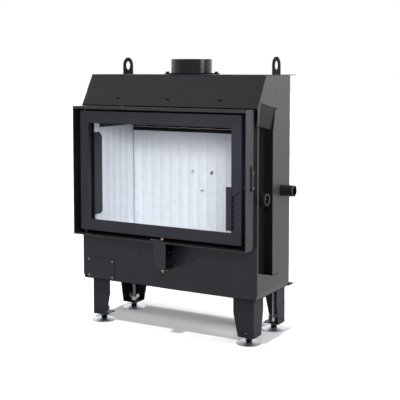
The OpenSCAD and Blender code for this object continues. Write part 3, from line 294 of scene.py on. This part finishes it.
def recess_sheet():
    # The recess is drawn near-black and matt inside: painted shade in the recess. Its outer strip
    # carries the side sheets' lighter copy of the paint: painted light
    strip_x = 357.5
    mat, tree, skin, place = finish("Painted_recess_sheet", "0C0C0D", IOR=1.22, Roughness=0.6)
    outer = add(
        tree, "ShaderNodeBsdfPrincipled", None,
        Base_Color=colour("3A3A3C"), IOR=1.5, Roughness=0.34,
    )
    grain = speckle(tree, place, size_mm=1.6, detail=2)
    tree.links.new(mixed(tree, grain, "0A0A0B", "111112"), skin.inputs["Base Color"])
    for coat in (skin, outer):
        dented(tree, coat, grain, depth_mm=0.03)
    both = add(
        tree, "ShaderNodeMixShader", None,
        _0=past(tree, "X", strip_x), _1=skin.outputs[0], _2=outer.outputs[0],
    )
    tree.links.new(both.outputs[0], tree.nodes["Material Output"].inputs["Surface"])
    return mat


paint = sprayed_paint("Sprayed_stove_paint", "17151D", "1C1A23", 0.4)
# The side sheets carry a lighter copy of the stove paint: painted light on the sheets facing the side
# lamp
side_paint = sprayed_paint("Sprayed_paint_side_sheets", "38383A", "3C3C3E", 0.34)
# The hood has marks in one row, and carries a darker copy of the stove paint: painted shade
hood_paint = holes_black(
    sprayed_paint("Sprayed_paint_hood", "0F0F12", "131317", 0.4, ior=1.42),
    row=("X", SHIFT_X, HOOD_MARK_STEP, 7.5),
    bands=[("Z", HOOD_MARK_Z, 2.6)],
)
# The side wall of the grip is perforated
grip_paint = holes_black(
    sprayed_paint("Sprayed_paint_grip", "17151D", "1C1A23", 0.4),
    row=("Z", GRIP_HOLE_Z, GRIP_HOLE_STEP, 3),
    bands=[("X", GRIP_WALL_X + SHIFT_X, 1.6), ("Y", GRIP_WALL_Y + SHIFT_Y, 3.5)],
)
surround_paint = sprayed_paint("Sprayed_paint_surround", "151517", "1A1A1C", 0.35, ior=1.6)
# The legs carry a lighter copy of the stove paint: painted light
leg_paint = sprayed_paint("Sprayed_paint_legs", "222027", "28262D", 0.42, ior=1.32)
# The flap carries a darker copy of the side sheets' paint: painted shade on its slanted face
flap_paint = sprayed_paint("Sprayed_paint_flap", "121213", "171718", 0.42, ior=1.35)
# A darker copy of the stove paint, for the parts listed with it below: painted shade
shaded_paint = sprayed_paint("Stove_paint_painted_shade", "0C0C0D", "111112", 0.6, ior=1.22)
gloss_paint = sprayed_paint("Baked_black_enamel", "0B0B0D", "0E0E10", 0.17, ior=1.42)
black = sprayed_paint("Matt_black_firebox_paint", "101011", "151516", 0.6)
pipe_paint = rim_highlight(
    sprayed_paint("Painted_tube_rear", "0D0D0F", "121214", 0.3), "X", 410.2, "646466"
)
port_paint = rim_highlight(
    sprayed_paint("Painted_tube_recess", "0D0D0F", "121214", 0.4), "X", 358.2, "565658"
)
recess = recess_sheet()
steel = rolled_steel("Rolled_mild_steel", "6F6F70", "858586", 0.38)
dark_steel = rolled_steel("Blued_steel", "3C3C3F", "4A4A4D", 0.4)
galvanised = rolled_steel("Galvanised_sheet", "7C7E80", "858789", 0.45, stretch=(1, 1, 1))
zinc = plated("Zinc_plate", "DEDFE2", "F0F1F3", 0.26)
dull_zinc = plated("Dull_zinc_plate", "8E8F92", "A0A1A4", 0.36)
brass = plated("Turned_brass", "C49A68", "D8B080", 0.3)
foot_plate = screw_foot()
board = lining_board("Pressed_board_flat")
# The board over the fire is drawn dark brown-grey: painted shade over the top of the firebox
shaded_board = lining_board("Board_painted_shade", base="4A4743", lighter="5C5852")
back_board = lining_board("Pressed_board_back", "X", BACK_SLAB_X + SHIFT_X)
side_board = lining_board("Pressed_board_side", "Y", SIDE_SLAB_Y + SHIFT_Y)
glass = ceramic_glass()
rope = braided_rope("Knitted_glass_fibre", "6F6F6B", "A8A8A3")
cord = braided_rope("Laid_glass_fibre_cord", "B9AE98", "D9D0BC")

# Every node that isn't named here has the stove paint
FINISHES = (
    (side_paint, "side_panel_left side_panel_right"),
    (hood_paint, "front_hood"),
    (grip_paint, "door_handle"),
    (surround_paint, "door_surround"),
    (leg_paint, "leg_front_left leg_front_right leg_rear_left leg_rear_right"),
    (flap_paint, "recess_flap"),
    (recess, "recess_liner"),
    (gloss_paint, "flue_spigot"),
    (pipe_paint, "side_air_pipe"),
    (port_paint, "recess_air_pipe"),
    (black, "smoke_hood"),
    (shaded_paint, "firebox_shell firebox_stands air_box bottom_plate seal_plate"),
    (shaded_paint, "lifting_eye_left lifting_eye_right flue_flange flue_bolts"),
    (shaded_paint, "glass_clips lining_rail surround_bolts"),
    (steel, "baffle_upper control_lever air_slide latch_pin"),
    (dark_steel, "hinge_plates hinge_bush latch_keeper control_spindle"),
    (galvanised, "rear_shield"),
    (zinc, "wing_nuts"),
    (dull_zinc, "keeper_screws guard_screws cover_screws clip_screws"),
    (brass, "control_knobs"),
    (foot_plate, "foot_front_left foot_front_right foot_rear_left foot_rear_right"),
    (board, "hearth_slab"),
    (shaded_board, "baffle_lower"),
    (back_board, "lining_back"),
    (side_board, "lining_left lining_right"),
    (glass, "door_glass"),
    (rope, "door_rope"),
)
finish_of = {node: mat for mat, names in FINISHES for node in names.split()}
for name, solid in nodes.items():
    for spot in solid.material_slots:
        spot.material = finish_of.get(name, paint)


# ---------------------------------------------------------------- added pieces


def piece(name, verts_mm, faces, mat, body):
    """A new smooth mesh given in the drawing's millimetres, which rides on a body."""
    mesh = bpy.data.meshes.new(name)
    verts = [((x + SHIFT_X) * MM, (y + SHIFT_Y) * MM, z * MM) for x, y, z in verts_mm]
    mesh.from_pydata(verts, [], faces)
    shape = bmesh.new()
    shape.from_mesh(mesh)
    bmesh.ops.recalc_face_normals(shape, faces=shape.faces)
    shape.to_mesh(mesh)
    shape.free()
    mesh.polygons.foreach_set("use_smooth", [True] * len(mesh.polygons))
    mesh.materials.append(mat)
    thing = bpy.data.objects.new(name, mesh)
    bpy.context.collection.objects.link(thing)
    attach(thing, body)
    return thing


def tube(path, sides, radius, closed):
    """Rings of points round a path: radius(i, j) in mm, path as (place, first, second) frames."""
    verts, faces = [], []
    for i, (place, first, second) in enumerate(path):
        for j in range(sides):
            turn = 2 * math.pi * j / sides
            out = radius(i, j) * (math.cos(turn) * first + math.sin(turn) * second)
            verts.append(tuple(place + out))
    count = len(path)
    for i in range(count if closed else count - 1):
        for j in range(sides):
            k = (j + 1) % sides
            n = (i + 1) % count
            faces.append((i * sides + j, i * sides + k, n * sides + k, n * sides + j))
    if not closed:
        faces += [tuple(range(sides)), tuple(range((count - 1) * sides, count * sides))]
    return verts, faces


def rope_path():
    """Frames along the rope's rectangle with round corners, which stands in the X-Z plane."""
    frames = []
    arc_cuts = 6
    back, depth = Vector((0, 1, 0)), Vector((0, ROPE_Y, 0))
    # Each corner with the direction in which its arc starts, in degrees
    corners = [
        (ROPE_HALF_X, ROPE_HIGH, 0),
        (-ROPE_HALF_X, ROPE_HIGH, 90),
        (-ROPE_HALF_X, ROPE_LOW, 180),
        (ROPE_HALF_X, ROPE_LOW, 270),
    ]

    def arc_centre(x, z):
        up = ROPE_BEND if z == ROPE_HIGH else -ROPE_BEND
        return Vector((x - math.copysign(ROPE_BEND, x), 0, z - up))

    def outward(degrees):
        return Vector((math.cos(math.radians(degrees)), 0, math.sin(math.radians(degrees))))

    for n, (x, z, start) in enumerate(corners):
        centre = arc_centre(x, z)
        for a in range(arc_cuts + 1):
            out = outward(start + 90 * a / arc_cuts)
            frames.append((centre + ROPE_BEND * out + depth, out, back))
        next_centre = arc_centre(*corners[(n + 1) % 4][:2])
        out = outward(start + 90)
        first, last = centre + ROPE_BEND * out, next_centre + ROPE_BEND * out
        cuts = int((last - first).length / ROPE_STEP)
        for a in range(1, cuts):
            frames.append((first.lerp(last, a / cuts) + depth, out, back))
    return frames


def door_seal():
    # Knitted rope: eight strands cross in each direction, so the surface is a net of knots
    def radius(i, j):
        along, round_ = i * ROPE_STEP / ROPE_KNOT, 4 * j / ROPE_SIDES
        one_way = abs(math.sin(math.pi * (along + round_)))
        other_way = abs(math.sin(math.pi * (along - round_)))
        return ROPE_CORE + ROPE_RELIEF * (one_way + other_way)

    shape = tube(rope_path(), ROPE_SIDES, radius, closed=True)
    thing = piece("door_seal_rope", *shape, rope, "door")
    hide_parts("door_rope")


def rail_cord():
    # A thin glass-fibre cord lies along the lining rail, slightly wavy as it is laid by hand
    frames = []
    for i in range(CORD_RINGS):
        x = -CORD_HALF_X + 2 * CORD_HALF_X * i / (CORD_RINGS - 1)
        z = CORD_Z + 0.7 * math.sin(x / 17) + 0.4 * math.sin(x / 7.3 + 1)
        frames.append((Vector((x, CORD_Y, z)), Vector((0, 1, 0)), Vector((0, 0, 1))))

    def radius(i, j):
        return CORD_RADIUS + CORD_RELIEF * ((i + j) % 2)

    shape = tube(frames, CORD_SIDES, radius, closed=False)
    thing = piece("lining_rail_cord", *shape, cord, "casing")


def thread_tree():
    """Geometry nodes that wind a rod's thread: a fine ridge coiled up round the axis."""
    tree = bpy.data.node_groups.new("Rod_thread", "GeometryNodeTree")
    tree.is_modifier = True
    sockets = (
        ("Geometry", "Geometry"), ("Radius", "Float"), ("Ridge", "Float"), ("Turns", "Float"),
        ("Height", "Float"), ("Foot of thread", "Vector"), ("Finish", "Material"),
    )
    for name, kind in sockets:
        tree.interface.new_socket(name, in_out="INPUT", socket_type="NodeSocket" + kind)
    tree.interface.new_socket("Geometry", in_out="OUTPUT", socket_type="NodeSocketGeometry")
    given = add(tree, "NodeGroupInput").outputs
    coil = add(
        tree, "GeometryNodeCurveSpiral", None, Resolution=16, Rotations=given["Turns"],
        Start_Radius=given["Radius"], End_Radius=given["Radius"], Height=given["Height"],
    )
    ridge = add(
        tree, "GeometryNodeCurvePrimitiveCircle", None, Resolution=4, Radius=given["Ridge"]
    )
    wire = add(
        tree, "GeometryNodeCurveToMesh", None,
        Curve=coil.outputs[0], Profile_Curve=ridge.outputs[0],
    )
    put = add(
        tree, "GeometryNodeTransform", None,
        Geometry=wire.outputs[0], Translation=given["Foot of thread"],
    )
    real = add(tree, "GeometryNodeRealizeInstances", None, Geometry=put.outputs[0])
    coat = add(
        tree, "GeometryNodeSetMaterial", None, Geometry=real.outputs[0], Material=given["Finish"]
    )
    add(tree, "NodeGroupOutput", None, _0=coat.outputs[0])
    return tree


def rod_thread(tree, mark, x, y):
    # The thread of one foot's rod, evaluated to a plain mesh
    name = "rod_thread_" + mark
    wound = bpy.data.objects.new(name, bpy.data.meshes.new(name))
    bpy.context.collection.objects.link(wound)
    mod = wound.modifiers.new("thread", "NODES")
    mod.node_group = tree
    height = THREAD_HIGH - THREAD_LOW
    values = {
        "Radius": THREAD_RADIUS * MM,
        "Ridge": THREAD_RIDGE * MM,
        "Turns": height / THREAD_PITCH,
        "Height": height * MM,
        "Foot of thread": ((x + SHIFT_X) * MM, (y + SHIFT_Y) * MM, THREAD_LOW * MM),
        "Finish": zinc,
    }
    for item in tree.interface.items_tree:
        if item.in_out == "INPUT" and item.name in values:
            mod[item.identifier] = values[item.name]
    bpy.context.view_layer.update()
    made = wound.evaluated_get(bpy.context.evaluated_depsgraph_get())
    mesh = bpy.data.meshes.new_from_object(made)
    wound.modifiers.clear()
    wound.data = mesh
    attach(wound, "foot_" + mark)


door_seal()
rail_cord()
threads = thread_tree()
rod_thread(threads, "fl", -FOOT_X, FOOT_FRONT_Y)
rod_thread(threads, "fr", FOOT_X, FOOT_FRONT_Y)
rod_thread(threads, "rl", -FOOT_X, FOOT_REAR_Y)
rod_thread(threads, "rr", FOOT_X, FOOT_REAR_Y)


# ---------------------------------------------------------------- stage, light and camera


def white_floor():
    """A floor that is white where the camera sees it, and greyer in what the object mirrors."""
    half = 30
    glow_level = 0.13
    mesh = bpy.data.meshes.new("floor")
    corners = [(-half, -half, 0), (half, -half, 0), (half, half, 0), (-half, half, 0)]
    mesh.from_pydata(corners, [], [(0, 1, 2, 3)])
    floor = bpy.data.objects.new("floor", mesh)
    bpy.context.collection.objects.link(floor)
    mat, tree, skin, _ = finish("White_floor", "FFFFFF", Roughness=1.0)
    skin.inputs["Specular IOR Level"].default_value = 0.0
    seen = add(tree, "ShaderNodeLightPath").outputs["Is Camera Ray"]
    tree.links.new(mixed(tree, seen, "B4B4B8", "FFFFFF"), skin.inputs["Base Color"])
    skin.inputs["Emission Color"].default_value = colour("FFFFFF")
    glow = maths(tree, "MULTIPLY", seen, glow_level)
    tree.links.new(glow, skin.inputs["Emission Strength"])
    mesh.materials.append(mat)


def white_room():
    """A room that is white where it shows, and brighter behind the object than before it."""
    before, behind, on_matt = 0.62, 1.5, 0.17
    world = bpy.data.worlds.new("room")
    world.use_nodes = True
    bpy.context.scene.world = world
    tree = world.node_tree
    place = add(tree, "ShaderNodeTexCoord").outputs["Generated"]
    # Turned so that its depth runs along the camera's view
    turned = add(
        tree, "ShaderNodeMapping", None, Vector=place, Rotation=(0, 0, math.radians(-30))
    )
    depth = add(tree, "ShaderNodeSeparateXYZ", None, Vector=turned.outputs[0]).outputs["Y"]
    level = add(
        tree, "ShaderNodeMapRange", {"interpolation_type": "SMOOTHSTEP"},
        Value=depth, From_Min=-0.6, From_Max=0.7, To_Min=before, To_Max=behind,
    ).outputs[0]
    ray = add(tree, "ShaderNodeLightPath").outputs
    shown = add(
        tree, "ShaderNodeMix", None, _0=ray["Is Diffuse Ray"], _2=level, _3=on_matt
    ).outputs[0]
    plain = maths(tree, "MAXIMUM", ray["Is Camera Ray"], ray["Is Transmission Ray"])
    strength = add(tree, "ShaderNodeMix", None, _0=plain, _2=shown, _3=1.0).outputs[0]
    background = tree.nodes["Background"]
    tree.links.new(strength, background.inputs["Strength"])
    background.inputs["Color"].default_value = colour("FFFFFF")


def lamp(name, kind, place, aim, size, power, spread=math.pi, mirrored=False):
    """A light at a place, aimed at a point. size is a sun's angle or an area's two sides."""
    data = bpy.data.lights.new(name, kind)
    if kind == "SUN":
        data.angle = size
    else:
        data.shape = "RECTANGLE"
        data.size, data.size_y = size
        data.spread = spread
    data.energy = power
    light = bpy.data.objects.new(name, data)
    light.location = place
    light.rotation_euler = (Vector(aim) - Vector(place)).to_track_quat("-Z", "Y").to_euler()
    light.visible_camera = False
    light.visible_glossy = mirrored
    light.visible_transmission = False
    bpy.context.collection.objects.link(light)


def camera():
    # Worked out from the photograph's edges
    data = bpy.data.cameras.new("camera")
    data.sensor_width = 36
    data.lens = 81.53
    data.shift_x = -0.0101
    data.shift_y = -0.1704
    eye = bpy.data.objects.new("camera", data)
    eye.location = (1.76875, -2.975, 1.0064)
    eye.rotation_euler = (math.radians(85.94), 0, math.radians(29.73))
    bpy.context.collection.objects.link(eye)
    bpy.context.scene.camera = eye


white_floor()
white_room()
lamp(
    "front_sun", "SUN",
    place=(0.0, -1.0, 2.5), aim=(0.0, 0.0, 0.0), size=math.radians(3), power=1.9,
)
lamp(
    "top_sun", "SUN",
    place=(0.0, 0.05, 2.5), aim=(0.0, 0.0, 0.0), size=math.radians(8), power=1.8,
)
lamp(
    "right_softbox", "AREA",
    place=(2.6, 0.3, 1.6), aim=(0.3, 0.0, 0.7), size=(1.2, 1.2), power=40, mirrored=True,
)
# A wide lamp in front lights the firebox through its window, and its narrow beam ends there
lamp(
    "window_softbox", "AREA",
    place=(0.65, -1.11, 1.03), aim=(-0.13, 0.155, 0.46), size=(0.8, 0.36), power=3.0,
    spread=math.radians(50),
)
camera()
bpy.context.scene.view_settings.view_transform = "Standard"
